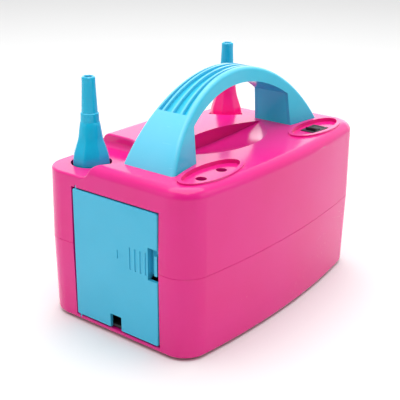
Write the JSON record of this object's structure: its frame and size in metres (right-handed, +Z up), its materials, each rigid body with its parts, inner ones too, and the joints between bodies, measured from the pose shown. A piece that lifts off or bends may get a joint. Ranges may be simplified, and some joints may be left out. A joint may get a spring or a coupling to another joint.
{
  "type": "electric balloon inflator",
  "caption": "Countertop electric balloon inflator: a rounded two-part moulded body with an arched carrying handle, upright air nozzles, control cups and a cord locker behind a hinged door.",
  "frame": {"origin": "middle of the footprint, level with the surface that the feet stand on", "axes": "+X along the long body away from the cord door, +Y towards the side with the nozzles, +Z up"},
  "size_m": [0.215, 0.1384, 0.1702],
  "materials": {
    "pink_plastic": "gloss moulded",
    "blue_plastic": "gloss moulded",
    "black_plastic": "fine moulded texture",
    "grey_plastic": "satin moulded",
    "white_plastic": "satin moulded",
    "rubber": "matt",
    "foam": "open-cell foam",
    "steel": "zinc plated",
    "lamination": "stacked sheet",
    "copper": "enamelled wire",
    "carbon": "pressed graphite",
    "bronze": "sintered"
  },
  "bodies": {
    "case": {"upper_shell": "pink_plastic", "lower_shell": "pink_plastic", "right_nozzle_bell": "pink_plastic", "handle_top": "blue_plastic", "handle_underside": "blue_plastic", "cord_box": "black_plastic", "switch_body": "black_plastic", "start_switch_body": "black_plastic", "near_brush_holder": "black_plastic", "far_brush_holder": "black_plastic", "air_chamber": "grey_plastic", "air_chamber_lid": "grey_plastic", "fan_housing": "grey_plastic", "fan_inlet_plate": "grey_plastic", "cord_gland": "rubber", "motor_cushion": "rubber", "foot_near_left": "rubber", "foot_near_right": "rubber", "foot_far_left": "rubber", "foot_far_right": "rubber", "right_nozzle_seal": "rubber", "port_gasket": "foam", "intake_filter": "foam", "shell_screws": "steel", "handle_screws": "steel", "housing_screws": "steel", "motor_screws": "steel", "nozzle_spring": "steel", "near_brush_spring": "steel", "far_brush_spring": "steel", "motor_bottom_bracket": "steel", "motor_top_bracket": "steel", "stator_core": "lamination", "field_coils": "copper", "near_brush": "carbon", "far_brush": "carbon", "bottom_bearing": "bronze", "top_bearing": "bronze"},
    "door": {"door": "blue_plastic"},
    "latch": {"door_latch": "blue_plastic"},
    "left_nozzle": {"left_nozzle_bell": "blue_plastic", "left_nozzle_seal": "rubber"},
    "left_tip": {"left_nozzle_tip": "blue_plastic"},
    "right_tip": {"right_nozzle_tip": "blue_plastic"},
    "start_button": {"start_switch_button": "white_plastic"},
    "rocker": {"switch_rocker": "black_plastic"},
    "rotor": {"motor_shaft": "steel", "armature_core": "lamination", "armature_windings": "copper", "commutator": "copper", "impeller": "white_plastic", "impeller_nut": "steel"}
  },
  "joints": [
    {"name": "door_hinge", "type": "hinge", "parent": "case", "child": "door", "pos_m": [-0.1056, 0.035, 0.05305], "axis": [0, 0, -1], "range_deg": [0, 110]},
    {"name": "latch_slide", "type": "slide", "parent": "door", "child": "latch", "axis": [0, 1, 0], "range_m": [0, 0.0012], "stiffness_N_per_m": 500},
    {"name": "rocker_tilt", "type": "hinge", "parent": "case", "child": "rocker", "pos_m": [0.065, -0.0458, 0.1167], "axis": [0, -1, 0], "range_deg": [0, 18]},
    {"name": "left_nozzle_press", "type": "slide", "parent": "case", "child": "left_nozzle", "axis": [0, 0, -1], "range_m": [0, 0.003], "stiffness_N_per_m": 300, "springref_m": -0.004, "deforming": ["nozzle_spring"]},
    {"name": "start_button_press", "type": "slide", "parent": "case", "child": "start_button", "axis": [0, 0, -1], "range_m": [0, 0.003]},
    {"name": "left_tip_pull", "type": "slide", "parent": "left_nozzle", "child": "left_tip", "axis": [0, 0, 1], "range_m": [0, 0.0125]},
    {"name": "right_tip_pull", "type": "slide", "parent": "case", "child": "right_tip", "axis": [0, 0, 1], "range_m": [0, 0.0125]},
    {"name": "rotor_spin", "type": "hinge", "parent": "case", "child": "rotor", "pos_m": [0.025, -0.008, 0.05], "axis": [0, 0, 1], "continuous": true}
  ],
  "couplings": [
    {"joint": "start_button_press", "follows": "left_nozzle_press", "ratio": 1}
  ]
}
